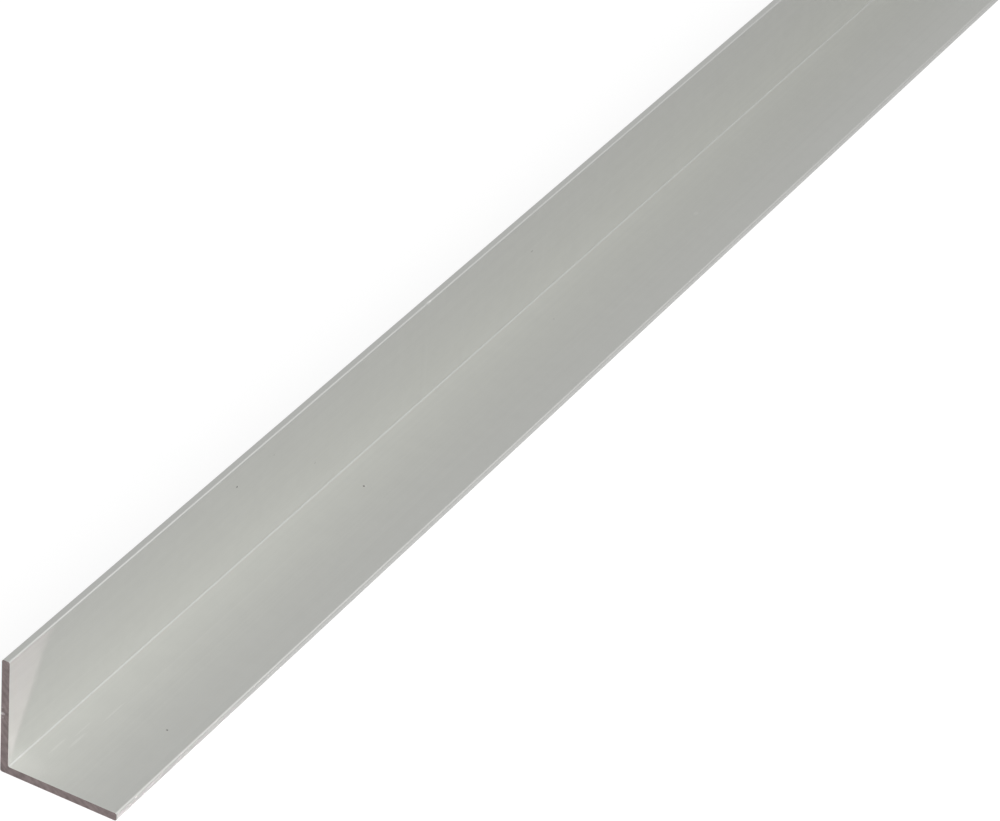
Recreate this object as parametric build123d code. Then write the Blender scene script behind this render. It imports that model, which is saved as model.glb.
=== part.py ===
from build123d import *
import os

# An extruded aluminium angle: two legs at a right angle, of one wall thickness, in one piece.
# It lies as it would on a floor or bench, on the outside of its flat leg, with the other leg
# standing up along the left edge. X runs across the flat leg from the heel to the toe, Y runs
# along the stock and Z is up. The origin is on the underside, in the middle of the flat leg.
# All sizes are in millimetres.

# The section
leg_width = 30.0        # flat leg, from the outside of the heel to the toe
leg_height = 30.0       # upright leg, from the underside to the tip
wall = 2.0              # thickness of both legs

# The roundings that the die leaves on the section
heel_radius = 0.5       # outside corner, where the legs meet
root_radius = 0.5       # inside corner, where the legs meet
edge_radius = 0.5       # both long edges of the toe and of the tip

# The stock
stock_length = 1000.0   # between the two sawn ends, which are cut square

# Two edge roundings share the wall at the toe and at the tip, so one may take this share at most.
EDGE_SHARE_OF_WALL = 0.45


def sharp_outline():
    """The two legs as rectangles that share the heel, whose outside corner is at the sketch's origin."""
    flat_leg = Rectangle(leg_width, wall, align=(Align.MIN, Align.MIN))
    upright_leg = Rectangle(wall, leg_height, align=(Align.MIN, Align.MIN))
    return flat_leg + upright_leg


def round_corners(outline, corners, radius):
    """The outline with each named corner rounded to the radius."""
    picked = [outline.vertices().sort_by_distance(corner)[0] for corner in corners]
    return fillet(picked, radius)


def section_outline():
    """The section with every corner rounded, as it leaves the die."""
    heel = [(0, 0)]
    root = [(wall, wall)]
    toe = [(leg_width, 0), (leg_width, wall)]
    tip = [(0, leg_height), (wall, leg_height)]
    edge_rounding = min(edge_radius, EDGE_SHARE_OF_WALL * wall)
    outline = round_corners(sharp_outline(), heel, heel_radius)
    outline = round_corners(outline, root, root_radius)
    return round_corners(outline, toe + tip, edge_rounding)


def angle_section():
    """The section extruded along the stock, half of it to each side of the origin."""
    section = Plane.XZ * Pos(-leg_width / 2, 0) * section_outline()
    return extrude(section, amount=stock_length / 2, both=True)


os.makedirs("parts", exist_ok=True)
export_step(angle_section(), "parts/angle_section.step")
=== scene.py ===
# %% [markdown]
# # A length of aluminium angle
# This lesson dresses a plain measured solid for a photograph. The part is one metre of
# extruded aluminium angle with a satin silver anodised skin, lying on the outside of one leg.
# It is one piece and nothing on it moves, so the work is in its edges, its finish and the
# light. The measured part is loaded first, and everything below is placed from it.

# %% Load the measured part
import math

import bmesh
import bpy
from mathutils import Matrix, Vector


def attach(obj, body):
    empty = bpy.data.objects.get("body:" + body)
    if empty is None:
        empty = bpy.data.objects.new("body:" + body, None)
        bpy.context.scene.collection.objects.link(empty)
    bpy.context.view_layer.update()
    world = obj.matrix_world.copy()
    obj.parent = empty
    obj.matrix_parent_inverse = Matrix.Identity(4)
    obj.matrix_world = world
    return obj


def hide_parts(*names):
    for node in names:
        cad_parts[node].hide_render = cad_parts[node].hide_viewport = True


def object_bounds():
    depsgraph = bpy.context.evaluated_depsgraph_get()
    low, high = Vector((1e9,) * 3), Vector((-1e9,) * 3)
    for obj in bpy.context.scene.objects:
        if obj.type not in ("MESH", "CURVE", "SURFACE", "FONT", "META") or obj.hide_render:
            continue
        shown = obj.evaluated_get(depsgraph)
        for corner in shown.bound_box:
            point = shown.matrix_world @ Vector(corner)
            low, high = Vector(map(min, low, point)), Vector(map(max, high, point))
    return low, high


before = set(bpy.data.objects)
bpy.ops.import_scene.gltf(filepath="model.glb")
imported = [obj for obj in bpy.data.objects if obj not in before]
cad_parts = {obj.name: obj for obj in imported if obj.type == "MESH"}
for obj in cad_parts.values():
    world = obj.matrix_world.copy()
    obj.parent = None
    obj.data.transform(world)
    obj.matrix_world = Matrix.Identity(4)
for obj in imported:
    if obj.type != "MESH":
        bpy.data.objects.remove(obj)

MM = 0.001
cad_low, cad_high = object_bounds()
print("measured part, millimetres:", [round(side / MM, 2) for side in cad_high - cad_low])

# %% [markdown]
# ## The camera
# A long lens keeps the two long edges nearly parallel, as in a catalogue picture. The camera
# is placed the way a photographer thinks of it: a spot on the bench to aim at, how far round
# and how far up to stand, how far away, and how much to tip the camera sideways. Those values
# are fitted to the long edges and the sawn end in the photograph. An empty with a tracking
# constraint would also work, but three turns in a row need no extra object.

# %% Set up the camera
AIM = Vector((3.47, -315.47, 0.0)) * MM
DISTANCE = 1130.2 * MM
ROUND_THE_BENCH = math.radians(27.044)
ABOVE_THE_BENCH = math.radians(33.742)
TIPPED_SIDEWAYS = math.radians(5.029)
LENS = 167.4
SENSOR_WIDTH = 36.0
NEAREST_SEEN = 10.0 * MM
FARTHEST_SEEN = 100.0


def place_camera():
    """A camera that looks down along the stock from its near end."""
    turn = Matrix.Rotation(ROUND_THE_BENCH, 4, "Z")
    turn = turn @ Matrix.Rotation(math.radians(90.0) - ABOVE_THE_BENCH, 4, "X")
    turn = turn @ Matrix.Rotation(TIPPED_SIDEWAYS, 4, "Z")
    step_back = turn @ Vector((0.0, 0.0, DISTANCE))
    data = bpy.data.cameras.new("catalogue_camera")
    data.lens = LENS
    data.sensor_width = SENSOR_WIDTH
    data.sensor_fit = "HORIZONTAL"
    data.clip_start = NEAREST_SEEN
    data.clip_end = FARTHEST_SEEN
    camera = bpy.data.objects.new("catalogue_camera", data)
    camera.matrix_world = Matrix.Translation(AIM + step_back) @ turn
    bpy.context.scene.collection.objects.link(camera)
    bpy.context.scene.camera = camera
    return camera


camera = place_camera()
bpy.context.scene.view_settings.view_transform = "Standard"
print("camera at, millimetres:", [round(value / MM, 1) for value in camera.matrix_world.translation])

# %% [markdown]
# ## The section
# A real angle gets its section from a steel die. The section is drawn once and the hot metal
# is pushed through it, so the mesh is made the same way: six corners, one face, one push
# along the stock. The section could be drawn with its roundings, but six corners are easier
# to read, and one bevel rounds all the long edges afterwards.

# %% Draw the sharp section and push it along the stock
WALL = 2.0 * MM


def sharp_section():
    """The corners of the near end, from the heel round past the toe, the root and the tip."""
    left, right = cad_low.x, cad_high.x
    under, top = cad_low.z, cad_high.z
    return [
        (left, under),
        (right, under),
        (right, under + WALL),
        (left + WALL, under + WALL),
        (left + WALL, top),
        (left, top),
    ]


def push_section():
    """A closed bar with sharp edges, from the near end to the far one."""
    bar = bmesh.new()
    corners = [bar.verts.new((x, cad_low.y, z)) for x, z in sharp_section()]
    near_end = bar.faces.new(corners)
    pushed = bmesh.ops.extrude_face_region(bar, geom=[near_end], use_keep_orig=True)
    far_corners = [item for item in pushed["geom"] if isinstance(item, bmesh.types.BMVert)]
    bmesh.ops.translate(bar, verts=far_corners, vec=(0.0, cad_high.y - cad_low.y, 0.0))
    bmesh.ops.recalc_face_normals(bar, faces=bar.faces)
    return bar


bar = push_section()
print("sharp bar:", len(bar.verts), "corners and", len(bar.faces), "faces")

# %% [markdown]
# ## The long edges
# The roundings are only half a millimetre, yet they draw the object. Each one turns through
# a right angle, so some line along it always mirrors the brightest part of the room. That is
# the thin bright line down the tip, the root and the toe. A bevel with a profile of 0.5 is
# a true quarter circle, and eight steps are enough for it to look round close up.

# %% Round the six long edges
DIE_RADIUS = 0.5 * MM
DIE_STEPS = 8


def long_edges(bar):
    """The edges that run the whole way along the stock."""
    return [edge for edge in bar.edges if abs(edge.verts[0].co.y - edge.verts[1].co.y) > WALL]


def bevel_edges(bar, edges, size, steps):
    """A round bevel on some edges."""
    bmesh.ops.bevel(
        bar,
        geom=edges,
        offset=size,
        offset_type="OFFSET",
        affect="EDGES",
        segments=steps,
        profile=0.5,
        material=-1,
    )


bevel_edges(bar, long_edges(bar), DIE_RADIUS, DIE_STEPS)
print("with rounded edges:", len(bar.faces), "faces")

# %% [markdown]
# ## The sawn ends
# A saw leaves the end square, and its rim shows no bright line, so it gets no bevel. It is
# marked sharp instead, which stops the smooth shading at it. The rim is found by its faces:
# the saw's own face is the one that looks along the stock.

# %% Keep both rims crisp
LOOKS_ALONG = 0.9


def rim_edges(bar):
    """The edges between a sawn face and the skin."""
    sawn_faces = [face for face in bar.faces if abs(face.normal.y) > LOOKS_ALONG]
    return {edge for face in sawn_faces for edge in face.edges}


rims = rim_edges(bar)
for edge in rims:
    edge.smooth = False
print("crisp edges round the two ends:", len(rims))

# %% [markdown]
# ## Cuts across the stock
# Faces a metre long and a tenth of a millimetre wide shade badly, and they can't bend. Cuts
# across the stock make them short, and close cuts where the tip was knocked give the knock
# something to move. bisect_plane suits this, because it cuts every face that it meets and
# leaves the shape alone. All distances are from the near sawn end.

# %% Cut the bar into short lengths
CUT_SPACING = 25.0 * MM
KNOCK_PLACE = 174.6 * MM
KNOCK_LENGTH = 3.0 * MM
KNOCK_CUTS = 12


def cut_across(bar, place):
    """One cut through the whole section."""
    everything = bar.verts[:] + bar.edges[:] + bar.faces[:]
    where = (0.0, cad_low.y + place, 0.0)
    bmesh.ops.bisect_plane(bar, geom=everything, plane_co=where, plane_no=(0.0, 1.0, 0.0))


stock_length = cad_high.y - cad_low.y
for step in range(1, round(stock_length / CUT_SPACING)):
    cut_across(bar, step * CUT_SPACING)
for step in range(KNOCK_CUTS + 1):
    cut_across(bar, KNOCK_PLACE + KNOCK_LENGTH * (step / KNOCK_CUTS - 0.5))
print("after the cuts:", len(bar.faces), "faces")

# %% [markdown]
# ## A knock on the tip
# Stock that has been racked gets small knocks, and this length has one on the inner rounding
# of its tip. The points near it are pushed into the metal, most in the middle and less
# towards its ends. A cosine gives that fall, since it starts and stops without a corner.

# %% Knock the tip
KNOCK_DEPTH = 0.16 * MM
KNOCK_REACH = 0.8 * MM


def knock(bar, centre, inwards):
    """Pushes the points near a place into the metal."""
    moved = 0
    for vert in bar.verts:
        along = abs(vert.co.y - centre.y) / (KNOCK_LENGTH / 2)
        across = Vector((vert.co.x - centre.x, vert.co.z - centre.z)).length / KNOCK_REACH
        if along < 1.0 and across < 1.0:
            fall = math.cos(along * math.pi / 2) * math.cos(across * math.pi / 2)
            vert.co += inwards.normalized() * KNOCK_DEPTH * fall
            moved += 1
    return moved


tip_inner_corner = Vector((cad_low.x + WALL, cad_low.y + KNOCK_PLACE, cad_high.z))
moved = knock(bar, tip_inner_corner, Vector((-1.0, 0.0, -1.0)))
print("the knock moved", moved, "points")

# %% [markdown]
# ## From bmesh to object
# The object sits at the origin, unturned, with its place in its mesh, so patterns on Object
# coordinates stay put. Every face is smooth, and a Weighted Normal modifier lets the large
# flat faces decide the shading where they meet a rounding. Without it a grey smear creeps
# from each rounding over the flats.

# %% Make the bar an object
LARGE_FACES_COUNT_MOST = 100


def finish_bar(bar, name):
    """The finished bar as an object that replaces the measured one."""
    for face in bar.faces:
        face.smooth = True
    mesh = bpy.data.meshes.new(name)
    bar.to_mesh(mesh)
    bar.free()
    piece = bpy.data.objects.new(name, mesh)
    bpy.context.scene.collection.objects.link(piece)
    shading = piece.modifiers.new("flat_faces_lead", "WEIGHTED_NORMAL")
    shading.weight = LARGE_FACES_COUNT_MOST
    shading.keep_sharp = True
    return piece


angle = finish_bar(bar, "extruded_angle")
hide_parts("angle_section")
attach(angle, "root")
print(angle.name, "has", len(angle.data.polygons), "faces")

# %% [markdown]
# ## Node helpers
# The finishes are built from a few moves, so these get short names: add a node with its
# settings and inputs, do a sum, and start a group. An input may be a number or another
# node's output, which keeps each recipe readable from top to bottom. Noise gathers round
# a half, so one helper stretches its middle over the whole range from 0 to 1.

# %% Helpers for shader nodes
def feed(tree, socket, value):
    """Sets an input, or links it where the value is another node's output."""
    if isinstance(value, bpy.types.NodeSocket):
        tree.links.new(value, socket)
    else:
        socket.default_value = value


def node(tree, kind, inputs=None, **settings):
    """A new shader node, with its settings and its inputs by name or number."""
    made = tree.nodes.new("ShaderNode" + kind)
    for name, value in settings.items():
        setattr(made, name, value)
    for name, value in (inputs or {}).items():
        feed(tree, made.inputs[name], value)
    return made


def maths(tree, operation, first, second=0.0):
    """The result of one sum."""
    return node(tree, "Math", {0: first, 1: second}, operation=operation).outputs[0]


def weigh_and_add(tree, value, weight, added):
    """A value times its weight, plus another value."""
    return node(tree, "Math", {0: value, 1: weight, 2: added}, operation="MULTIPLY_ADD").outputs[0]


def remap(tree, value, low, high, new_low, new_high):
    """A value moved smoothly from one range to another."""
    ranges = {"From Min": low, "From Max": high, "To Min": new_low, "To Max": new_high}
    ranges["Value"] = value
    return node(tree, "MapRange", ranges, interpolation_type="SMOOTHSTEP").outputs["Result"]


def whole_range(tree, noise, spread):
    """Noise from this much under a half to this much over it, stretched from 0 to 1."""
    return remap(tree, noise, 0.5 - spread, 0.5 + spread, 0.0, 1.0)


def start_group(name, inputs, outputs):
    """An empty node group with named sockets, and its two ends."""
    tree = bpy.data.node_groups.new(name, "ShaderNodeTree")
    for socket, kind in inputs.items():
        tree.interface.new_socket(socket, in_out="INPUT", socket_type="NodeSocket" + kind)
    for socket, kind in outputs.items():
        tree.interface.new_socket(socket, in_out="OUTPUT", socket_type="NodeSocket" + kind)
    return tree, tree.nodes.new("NodeGroupInput").outputs, tree.nodes.new("NodeGroupOutput").inputs


def place_group(tree, group, inputs):
    """One use of a group in a material, with its own values."""
    placed = tree.nodes.new("ShaderNodeGroup")
    placed.node_tree = group
    for name, value in inputs.items():
        feed(tree, placed.inputs[name], value)
    return placed.outputs


# %% [markdown]
# ## Die lines
# The die drags along the metal and leaves fine lines that run the whole length. Noise makes
# them when its coordinates are squeezed along the stock: what would be a speck becomes
# a line. A wave texture would give even stripes, which no die makes. Two sizes are mixed,
# a broad one for the slow ripple across a leg and a fine one for the single lines.

# %% The group for die lines
LINE_SPREAD = 0.2


def die_lines_group():
    """Lines along the stock, 0 to 1, with a plain width and a length in metres."""
    inputs = {"Vector": "Vector", "Width": "Float", "Length": "Float"}
    tree, given, result = start_group("die_lines", inputs, {"Lines": "Float"})
    across = maths(tree, "DIVIDE", 1.0, given["Width"])
    along = maths(tree, "DIVIDE", 1.0, given["Length"])
    squeeze = node(tree, "CombineXYZ", {"X": across, "Y": along, "Z": across}).outputs[0]
    scaled = node(tree, "VectorMath", {0: given["Vector"], 1: squeeze}, operation="MULTIPLY")
    noise = {"Vector": scaled.outputs[0], "Scale": 1.0, "Detail": 2.0, "Roughness": 0.6}
    lines = node(tree, "TexNoise", noise).outputs[0]
    feed(tree, result["Lines"], whole_range(tree, lines, LINE_SPREAD))
    return tree


die_lines = die_lines_group()
print("made the group", die_lines.name)

# %% [markdown]
# ## Etched grain
# Before anodising the metal is etched in caustic soda, which takes away its shine and leaves
# an even matt grain with faint clouds. Grain and clouds are the same noise at two sizes, so
# one group gives both. The grain feeds the bump, the clouds the colour and the roughness.

# %% The group for etched grain
ETCH_SPREAD = 0.25


def etched_grain_group():
    """Fine grain and wide clouds, both 0 to 1, with their sizes in metres."""
    inputs = {"Vector": "Vector", "Grain Size": "Float", "Cloud Size": "Float"}
    outputs = {"Grain": "Float", "Clouds": "Float"}
    tree, given, result = start_group("etched_grain", inputs, outputs)
    for size, detail, output in (("Grain Size", 3.0, "Grain"), ("Cloud Size", 4.0, "Clouds")):
        scale = maths(tree, "DIVIDE", 1.0, given[size])
        noise = {"Vector": given["Vector"], "Scale": scale, "Detail": detail}
        pattern = node(tree, "TexNoise", noise).outputs[0]
        feed(tree, result[output], whole_range(tree, pattern, ETCH_SPREAD))
    return tree


etched_grain = etched_grain_group()
print("made the group", etched_grain.name)

# %% [markdown]
# ## Pits
# A few pits and specks sit on the inside faces, such as dirt leaves where it keeps the etch
# away, or whatever presses on the metal. A pit is a round mask: the distance from its place,
# made uneven by a little noise so that it is no perfect disc. A stretch along the stock
# turns the same mask into a scuff, and a very long stretch lays painted shade along a whole
# rounding. Wide ones place patches of painted light.

# %% The group for pits
PIT_NOISE_SCALE = 4000.0
PIT_RAGGEDNESS = 0.25
PIT_WHOLE_TO = 0.45
PIT_GONE_AT = 1.15


def pit_group():
    """A ragged spot, 1 in its middle and 0 outside, with its place, radius and stretch."""
    inputs = {"Vector": "Vector", "Place": "Vector", "Radius": "Float", "Stretch": "Float"}
    tree, given, result = start_group("pit", inputs, {"Mask": "Float"})
    offset = node(tree, "VectorMath", {0: given["Vector"], 1: given["Place"]}, operation="SUBTRACT")
    along = maths(tree, "DIVIDE", 1.0, given["Stretch"])
    shrink = node(tree, "CombineXYZ", {"X": 1.0, "Y": along, "Z": 1.0}).outputs[0]
    inputs = {0: offset.outputs[0], 1: shrink}
    shaped = node(tree, "VectorMath", inputs, operation="MULTIPLY").outputs[0]
    distance = node(tree, "VectorMath", {0: shaped}, operation="LENGTH").outputs["Value"]
    noise = {"Vector": given["Vector"], "Scale": PIT_NOISE_SCALE, "Detail": 2.0}
    uneven = whole_range(tree, node(tree, "TexNoise", noise).outputs[0], LINE_SPREAD)
    ragged = weigh_and_add(tree, uneven, 2.0 * PIT_RAGGEDNESS, 1.0 - PIT_RAGGEDNESS)
    share = maths(tree, "DIVIDE", maths(tree, "MULTIPLY", distance, ragged), given["Radius"])
    feed(tree, result["Mask"], remap(tree, share, PIT_WHOLE_TO, PIT_GONE_AT, 1.0, 0.0))
    return tree


pit = pit_group()
print("made the group", pit.name)

# %% [markdown]
# ## Saw marks
# A circular saw leaves shallow arcs, all about the blade's centre, which is far outside the
# section. The distance from that centre is turned into fine lines by noise read along one
# line only, so each arc keeps one tone from side to side.

# %% The group for saw marks
def saw_arcs_group():
    """Fine arcs about the blade's centre, 0 to 1, with their spacing in metres."""
    inputs = {"Vector": "Vector", "Blade Centre": "Vector", "Spacing": "Float"}
    tree, given, result = start_group("saw_arcs", inputs, {"Arcs": "Float"})
    offset = {0: given["Vector"], 1: given["Blade Centre"]}
    from_centre = node(tree, "VectorMath", offset, operation="DISTANCE").outputs["Value"]
    count = maths(tree, "DIVIDE", from_centre, given["Spacing"])
    noise = {"W": count, "Scale": 1.0, "Detail": 3.0}
    arcs = node(tree, "TexNoise", noise, noise_dimensions="1D").outputs[0]
    feed(tree, result["Arcs"], whole_range(tree, arcs, LINE_SPREAD))
    return tree


saw_arcs = saw_arcs_group()
print("made the group", saw_arcs.name)

# %% [markdown]
# ## The anodised skin
# Satin anodising is clear and glassy under a microscope, but over an etched surface it looks
# like rough bare metal, a little warm and a little green. So the shader is a rough metal,
# and the clear coat is left out. Small changes do the work: clouds and die lines shift the
# colour by a few hundredths and the roughness with it, each pit is dark and sunk in, and
# light scuffs lie mostly near the sawn end. The inner roundings get a darker colour, which
# is painted shade that dims their bright lines, and the toe's own face a brighter one, which
# is painted light. Both are chosen so that these lines come out as bright as in the
# photograph. What makes them so on the real one isn't known. The wide pale mark on the flat
# leg beside the sawn end and the two pale marks on the upright leg aren't wear: they are
# painted light, standing for light that the lamp below the bench doesn't bring there. Places
# are given in millimetres along the stock from the near sawn end. Each mark is a place, a
# radius, a stretch along the stock and a strength.

# %% The skin's colours and marks
SKIN_DARK = (0.616, 0.620, 0.597, 1.0)
SKIN_PALE = (0.654, 0.658, 0.634, 1.0)
PIT_COLOUR = (0.10, 0.095, 0.09, 1.0)
# The scuff colour also paints the pale patches of painted light near the sawn end.
SCUFF_AND_LIGHT_COLOUR = (0.76, 0.76, 0.74, 1.0)
# Painted shade, laid along the inner roundings to dim their bright lines.
ROUNDING_SHADE_COLOUR = (0.565, 0.569, 0.55, 1.0)
# Painted light on the toe's own face.
TOE_LIGHT_COLOUR = (0.81, 0.81, 0.79, 1.0)
SKIN_ROUGHNESS = 0.45
ROUGHNESS_SWING = 0.03
BROAD_LINES = {"Width": 2.5 * MM, "Length": 600.0 * MM}
FINE_LINES = {"Width": 0.35 * MM, "Length": 150.0 * MM}
SKIN_ETCH = {"Grain Size": 0.25 * MM, "Cloud Size": 9.0 * MM}
FINE_SHARE = 0.2
BROAD_SHARE = 0.3
CLOUD_SHARE = 0.5
GRAIN_IN_RELIEF = 0.5
RELIEF_DEPTH = 0.0006 * MM
UPRIGHT_INSIDE = cad_low.x + WALL
FLAT_INSIDE = cad_low.z + WALL


def on_upright(along, height):
    """A place on the inside of the upright leg, from millimetres."""
    return (UPRIGHT_INSIDE, cad_low.y + along * MM, height * MM)


def on_flat(along, across):
    """A place on the inside of the flat leg, from millimetres."""
    return (across * MM, cad_low.y + along * MM, FLAT_INSIDE)


def rounding_middle(x, x_side, z, z_side):
    """The middle of a rounding, from its sharp corner and the side on which it lies."""
    return (x + x_side * INTO_ROUNDING, 0.0, z + z_side * INTO_ROUNDING)


PITS = [
    (on_upright(89.7, 24.4), 0.28 * MM, 1.0, 1.0),
    (on_upright(105.5, 24.4), 0.20 * MM, 1.0, 0.35),
    (on_upright(124.5, 11.5), 0.35 * MM, 1.0, 0.2),
    (on_upright(226.6, 18.3), 0.25 * MM, 2.2, 0.4),
    (on_flat(30.35, 7.9), 0.26 * MM, 1.0, 0.8),
    (on_flat(135.1, -5.4), 0.30 * MM, 1.0, 1.0),
    (on_flat(225.5, -4.6), 0.22 * MM, 1.0, 0.35),
]
# Scuffs, and among them three wide pale patches of painted light beside the sawn end.
SCUFFS_AND_PAINTED_LIGHT = [
    (on_flat(12.0, -8.4), 0.34 * MM, 11.0, 0.35),
    (on_flat(20.0, -7.2), 0.24 * MM, 16.0, 0.28),
    (on_flat(16.0, -6.0), 0.40 * MM, 9.0, 0.35),
    (on_flat(29.0, -5.1), 0.30 * MM, 16.0, 0.35),
    (on_flat(70.0, -4.3), 0.20 * MM, 280.0, 0.09),
    # Painted light: a wide pale patch on the flat leg beside the sawn end.
    (on_flat(1.0, -10.5), 6.5 * MM, 1.0, 0.25),
    (on_flat(135.3, -5.1), 0.42 * MM, 1.0, 0.5),
    (on_flat(292.0, 0.6), 0.7 * MM, 1.6, 0.3),
    # Painted light: two pale patches on the upright leg beside the sawn end.
    (on_upright(0.5, 4.5), 3.5 * MM, 1.2, 0.3),
    (on_upright(0.5, 8.0), 3.5 * MM, 1.2, 0.2),
]
WHOLE_LENGTH = 5000.0
INTO_ROUNDING = 0.15 * MM
# Painted shade along the root, the tip's inner rounding and the toe's inner rounding.
ROUNDING_PAINTED_SHADE = [
    (rounding_middle(UPRIGHT_INSIDE, 1.0, FLAT_INSIDE, 1.0), 0.3 * MM, WHOLE_LENGTH, 0.9),
    (rounding_middle(UPRIGHT_INSIDE, -1.0, cad_high.z, -1.0), 0.4 * MM, WHOLE_LENGTH, 0.35),
    (rounding_middle(cad_high.x, -1.0, FLAT_INSIDE, -1.0), 0.3 * MM, WHOLE_LENGTH, 0.2),
]
# Painted light on the toe's own face, which makes it brighter.
TOE_PAINTED_LIGHT = [
    ((cad_high.x, 0.0, cad_low.z + WALL / 2), 0.75 * MM, WHOLE_LENGTH, 1.0),
]
print("pits and scuffs on the skin:", len(PITS), "and", len(SCUFFS_AND_PAINTED_LIGHT))

# %% The skin's shader
def new_material(name):
    """An empty material with its tree and its Principled shader."""
    material = bpy.data.materials.new(name)
    material.use_nodes = True
    tree = material.node_tree
    tree.nodes.clear()
    output = tree.nodes.new("ShaderNodeOutputMaterial")
    shader = tree.nodes.new("ShaderNodeBsdfPrincipled")
    tree.links.new(shader.outputs["BSDF"], output.inputs["Surface"])
    return material, tree, shader


def mix_colours(tree, share, first, second):
    """A colour between two, by a share from 0 to 1."""
    mixed = node(tree, "Mix", data_type="RGBA")
    feed(tree, mixed.inputs["Factor"], share)
    colours = [socket for socket in mixed.inputs if socket.type == "RGBA"]
    feed(tree, colours[0], first)
    feed(tree, colours[1], second)
    return next(socket for socket in mixed.outputs if socket.type == "RGBA")


def all_marks(tree, place, marks):
    """The masks of some marks, each at its own strength, as one mask."""
    together = None
    for spot, radius, stretch, strength in marks:
        inputs = {"Vector": place, "Place": spot, "Radius": radius, "Stretch": stretch}
        mask = maths(tree, "MULTIPLY", place_group(tree, pit, inputs)["Mask"], strength)
        together = mask if together is None else maths(tree, "MAXIMUM", together, mask)
    return together


def anodised_skin():
    """Satin silver anodising over etched aluminium."""
    material, tree, shader = new_material("satin_anodised_skin")
    place = node(tree, "TexCoord").outputs["Object"]
    broad = place_group(tree, die_lines, {"Vector": place, **BROAD_LINES})
    fine = place_group(tree, die_lines, {"Vector": place, **FINE_LINES})
    etched = place_group(tree, etched_grain, {"Vector": place, **SKIN_ETCH})
    pits = all_marks(tree, place, PITS)
    # Scuffs, with some wide patches of painted light.
    scuffs_and_light = all_marks(tree, place, SCUFFS_AND_PAINTED_LIGHT)
    # Painted shade along the inner roundings.
    roundings = all_marks(tree, place, ROUNDING_PAINTED_SHADE)
    # Painted light on the toe face.
    toe = all_marks(tree, place, TOE_PAINTED_LIGHT)

    ripple = maths(tree, "MULTIPLY", broad["Lines"], BROAD_SHARE)
    lines = weigh_and_add(tree, fine["Lines"], FINE_SHARE, ripple)
    tone = weigh_and_add(tree, etched["Clouds"], CLOUD_SHARE, lines)
    clean = mix_colours(tree, tone, SKIN_DARK, SKIN_PALE)
    with_toe_light = mix_colours(tree, toe, clean, TOE_LIGHT_COLOUR)
    with_rounding_shade = mix_colours(tree, roundings, with_toe_light, ROUNDING_SHADE_COLOUR)
    scuffed_and_lit = mix_colours(tree, scuffs_and_light, with_rounding_shade, SCUFF_AND_LIGHT_COLOUR)
    feed(tree, shader.inputs["Base Color"], mix_colours(tree, pits, scuffed_and_lit, PIT_COLOUR))

    roughest, smoothest = SKIN_ROUGHNESS + ROUGHNESS_SWING, SKIN_ROUGHNESS - ROUGHNESS_SWING
    feed(tree, shader.inputs["Roughness"], remap(tree, tone, 0.0, 1.0, roughest, smoothest))
    lines_and_pits = maths(tree, "SUBTRACT", lines, pits)
    relief = weigh_and_add(tree, etched["Grain"], GRAIN_IN_RELIEF, lines_and_pits)
    bump = node(tree, "Bump", {"Height": relief, "Strength": 1.0, "Distance": RELIEF_DEPTH})
    feed(tree, shader.inputs["Normal"], bump.outputs["Normal"])
    shader.inputs["Metallic"].default_value = 1.0
    return material


skin = anodised_skin()
print("made the material", skin.name)

# %% [markdown]
# ## The sawn metal
# Anodising comes before the saw, so the two ends are bare metal. Next to the bright skin
# they read as a dark, slightly brown frame round the section. The colour does most of that:
# its darkness is painted shade on the sawn ends. The saw's arcs give it a grain. A few pale
# nicks close together, on the outer side of the upright leg, look like bumps from after it
# was cut. Their paleness is a painted glint.

# %% The sawn metal's shader
# Both sawn colours are dark: painted shade on the sawn ends.
SAWN_DARK = (0.215, 0.185, 0.18, 1.0)
SAWN_PALE = (0.345, 0.30, 0.29, 1.0)
SAWN_ROUGHNESS = 0.5
# The nicks are real bumps; their pale colour is a painted glint.
NICK_GLINT_COLOUR = (0.70, 0.69, 0.67, 1.0)
NICKS = [
    ((cad_low.x + 0.3 * MM, cad_low.y, 15.65 * MM), 0.45 * MM, 1.0, 0.7),
    ((cad_low.x + 0.7 * MM, cad_low.y, 15.75 * MM), 0.35 * MM, 1.0, 0.5),
    ((cad_low.x + 0.3 * MM, cad_low.y, 17.3 * MM), 0.30 * MM, 1.0, 0.3),
    ((cad_low.x + 0.5 * MM, cad_low.y, 14.7 * MM), 0.30 * MM, 1.0, 0.25),
]
SAW_MARKS = {"Blade Centre": (140.0 * MM, 0.0, 160.0 * MM), "Spacing": 0.3 * MM}
SAWN_MOTTLE = {"Grain Size": 0.2 * MM, "Cloud Size": 1.5 * MM}
ARC_SHARE = 0.4
MOTTLE_SHARE = 0.6
SAW_MARK_DEPTH = 0.004 * MM


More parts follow.
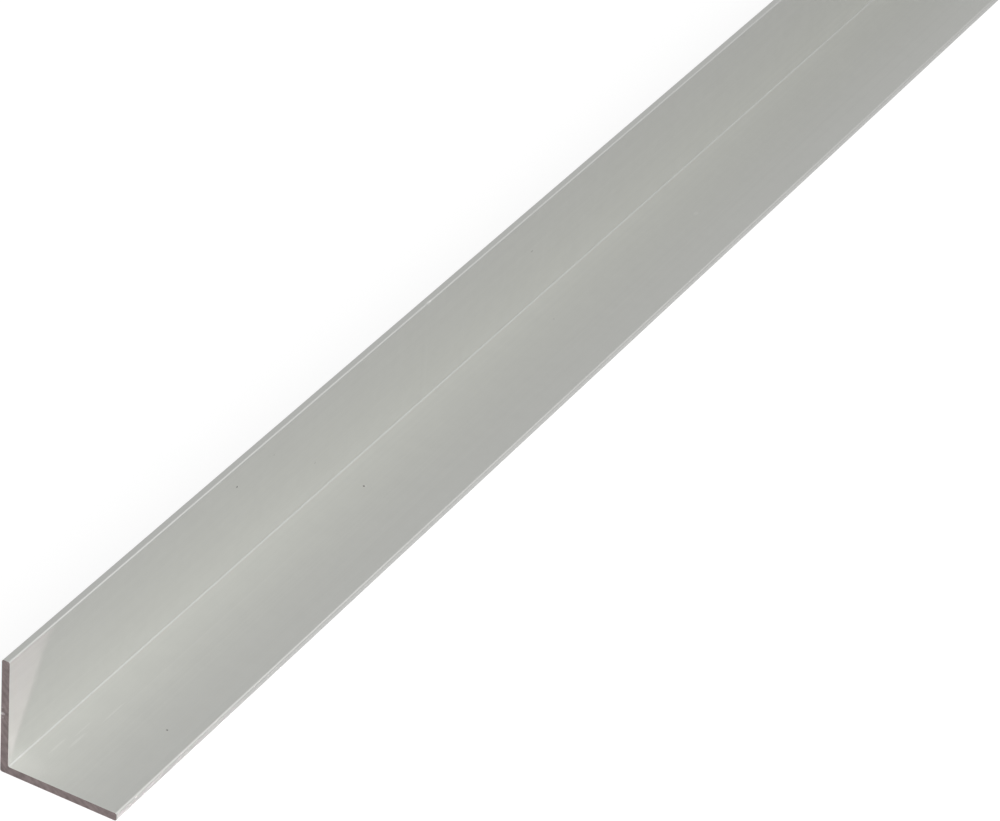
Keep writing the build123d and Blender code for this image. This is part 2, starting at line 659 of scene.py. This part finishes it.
def sawn_metal():
    """The bare metal of a sawn end, darkened with painted shade."""
    material, tree, shader = new_material("sawn_metal")
    place = node(tree, "TexCoord").outputs["Object"]
    arcs = place_group(tree, saw_arcs, {"Vector": place, **SAW_MARKS})
    etched = place_group(tree, etched_grain, {"Vector": place, **SAWN_MOTTLE})
    mottle = maths(tree, "MULTIPLY", etched["Clouds"], MOTTLE_SHARE)
    tone = weigh_and_add(tree, arcs["Arcs"], ARC_SHARE, mottle)
    # The sawn tone, darkened with painted shade.
    shaded_metal = mix_colours(tree, tone, SAWN_DARK, SAWN_PALE)
    nicks = all_marks(tree, place, NICKS)
    feed(tree, shader.inputs["Base Color"], mix_colours(tree, nicks, shaded_metal, NICK_GLINT_COLOUR))
    bump = node(tree, "Bump", {"Height": arcs["Arcs"], "Strength": 1.0, "Distance": SAW_MARK_DEPTH})
    feed(tree, shader.inputs["Normal"], bump.outputs["Normal"])
    shader.inputs["Metallic"].default_value = 1.0
    shader.inputs["Roughness"].default_value = SAWN_ROUGHNESS
    return material


sawn = sawn_metal()
angle.data.materials.append(skin)
angle.data.materials.append(sawn)
for polygon in angle.data.polygons:
    if abs(polygon.normal.y) > LOOKS_ALONG:
        polygon.material_index = 1
print("made the material", sawn.name)

# %% [markdown]
# ## The bench
# The bench is a wide pale sheet. A white background needs no extra light: Light Path lets
# the camera see the sheet glow, and the lamps only add the object's faint shadow on it. The
# metal mirrors the same bench at about half that brightness, because a bench that is white
# in the mirror too washes out the soft shading of the legs. So rays that come off a glossy
# surface get a glow of their own. The glow throws no light on anything else, so it is left
# out of the lamps that Cycles aims rays at.

# %% Lay the bench
WHITE = (1.0, 1.0, 1.0, 1.0)
BENCH_HALF_SIDE = 20.0
BENCH_COLOUR = (0.25, 0.25, 0.25, 1.0)
BENCH_GLOW_SEEN = 0.80
BENCH_GLOW_MIRRORED = 0.24


def lay_bench():
    """A flat sheet under the object."""
    shape = bmesh.new()
    bmesh.ops.create_grid(shape, x_segments=1, y_segments=1, size=BENCH_HALF_SIDE)
    bmesh.ops.translate(shape, verts=shape.verts, vec=(0.0, 0.0, cad_low.z))
    mesh = bpy.data.meshes.new("bench")
    shape.to_mesh(mesh)
    shape.free()
    sheet = bpy.data.objects.new("bench", mesh)
    bpy.context.scene.collection.objects.link(sheet)
    return sheet


def white_paper():
    """Paper that the camera sees as white, and that the metal mirrors as a light grey."""
    material, tree, shader = new_material("white_paper")
    rays = node(tree, "LightPath").outputs
    seen = maths(tree, "MULTIPLY", rays["Is Camera Ray"], BENCH_GLOW_SEEN)
    off_a_surface = maths(tree, "MAXIMUM", rays["Is Glossy Ray"], rays["Is Transmission Ray"])
    mirrored = maths(tree, "MULTIPLY", off_a_surface, BENCH_GLOW_MIRRORED)
    feed(tree, shader.inputs["Emission Strength"], maths(tree, "ADD", seen, mirrored))
    material.cycles.emission_sampling = "NONE"
    shader.inputs["Emission Color"].default_value = WHITE
    shader.inputs["Base Color"].default_value = BENCH_COLOUR
    shader.inputs["Roughness"].default_value = 1.0
    shader.inputs["Specular IOR Level"].default_value = 0.0
    return material


floor = lay_bench()
floor.data.materials.append(white_paper())
print("bench half side, metres:", BENCH_HALF_SIDE)

# %% [markdown]
# ## The room
# The room is an even light grey. That is what makes satin metal look satin: without it the
# flats would go black between the lamps. The bench fills the camera's view, so the room
# itself is never seen and needs no white of its own.

# %% Fill the room
ROOM_GREY = 0.64


def fill_room():
    """Even light from all round."""
    world = bpy.data.worlds.new("room")
    bpy.context.scene.world = world
    world.use_nodes = True
    background = world.node_tree.nodes["Background"]
    background.inputs["Color"].default_value = WHITE
    background.inputs["Strength"].default_value = ROOM_GREY


fill_room()
print("room grey:", ROOM_GREY)

# %% [markdown]
# ## The lamps
# Three soft round lamps stand 1.2 m from the near half of the stock, all on its open side.
# The key is on the right, a low and brighter one in front on the right gives the legs their
# satin sheen, and a weak one further along lights the roundings. Each lamp is two angles and
# the radiance that the metal sees, since a reflection shows that. The three lamps and their
# radiances come from a least-squares fit to how bright the photograph's metal is. The power
# follows from the lamp's area.

# %% Hang the lamps
LAMP_CENTRE = Vector((0.0, -350.0, 0.0)) * MM
LAMP_DISTANCE = 1200.0 * MM
LAMP_WIDTH = 600.0 * MM
LAMPS = {
    "key_right": (90.0, 45.0, 5.97),
    "low_front_right": (120.0, 20.0, 15.47),
    "far_right": (30.0, 45.0, 0.70),
}


def direction(azimuth, elevation):
    """A direction from its angle round from the far end and its angle above the bench."""
    turned = math.radians(azimuth)
    raised = math.radians(elevation)
    level = math.cos(raised)
    return Vector((math.sin(turned) * level, math.cos(turned) * level, math.sin(raised)))


def soft_lamp(name, place, target, width, radiance, colour=(1.0, 1.0, 1.0)):
    """A round soft lamp that faces its target."""
    data = bpy.data.lights.new(name, "AREA")
    data.shape = "DISK"
    data.size = width
    data.color = colour
    area = math.pi * (width / 2) ** 2
    data.energy = radiance * math.pi * area
    lamp = bpy.data.objects.new(name, data)
    lamp.location = place
    lamp.rotation_euler = (place - target).to_track_quat("Z", "Y").to_euler()
    bpy.context.scene.collection.objects.link(lamp)
    return lamp


for name, (azimuth, elevation, radiance) in LAMPS.items():
    place = LAMP_CENTRE + direction(azimuth, elevation) * LAMP_DISTANCE
    lamp = soft_lamp(name, place, LAMP_CENTRE, LAMP_WIDTH, radiance)
    print(name, "power in watts:", round(lamp.data.energy, 2))

# %% [markdown]
# ## Light off the bench
# The photograph has a pale triangle on the upright leg, beside the sawn end. It is taken for
# front light that a glossy bench throws back up, which reaches the inside of that leg only
# there, where the flat leg doesn't shade it. A mirror-like bench would do this too, with
# a lot of noise. A small lamp below the bench does the same cleanly, once shadow linking
# lets its light through the bench: only the angle blocks it. The bench is lit from
# underneath by it, where nobody looks. Its beam is narrow and aimed high, so the triangle
# doesn't fade towards the tip. A beam that fades evenly to its rim carries a third of the
# light of an even one.

# %% Hang the lamp below the bench
near_root = Vector((UPRIGHT_INSIDE, cad_low.y, FLAT_INSIDE))
BOUNCE_WAY = Vector((0.8, -0.55, -1.0)).normalized()
BOUNCE_DISTANCE = 600.0 * MM
BOUNCE_WIDTH = 73.0 * MM
BOUNCE_RADIANCE = 900.0
BOUNCE_SPREAD = math.radians(14.0)
BOUNCE_AIM_HEIGHT = 28.0 * MM
BOUNCE_COLOUR = (1.0, 0.80, 0.876)
FADING_BEAM_SHARE = 1 / 3


def shaded_only_by(lamp, piece):
    """Shadow linking: one piece casts this lamp's shadows, and its light passes all others."""
    blockers = bpy.data.collections.new("shades_the_bounce")
    blockers.objects.link(piece)
    lamp.light_linking.blocker_collection = blockers


def narrow_beam(lamp, spread):
    """A beam that fades evenly from its middle to its rim, as bright in the middle as before."""
    lamp.data.spread = spread
    lamp.data.energy *= math.tan(spread / 2) ** 2 * FADING_BEAM_SHARE


bounce = soft_lamp(
    "bounce_off_the_bench",
    near_root + BOUNCE_WAY * BOUNCE_DISTANCE,
    near_root + Vector((0.0, 0.0, BOUNCE_AIM_HEIGHT)),
    BOUNCE_WIDTH,
    BOUNCE_RADIANCE,
    BOUNCE_COLOUR,
)
narrow_beam(bounce, BOUNCE_SPREAD)
shaded_only_by(bounce, angle)
print("bounce power in watts:", round(bounce.data.energy, 2))
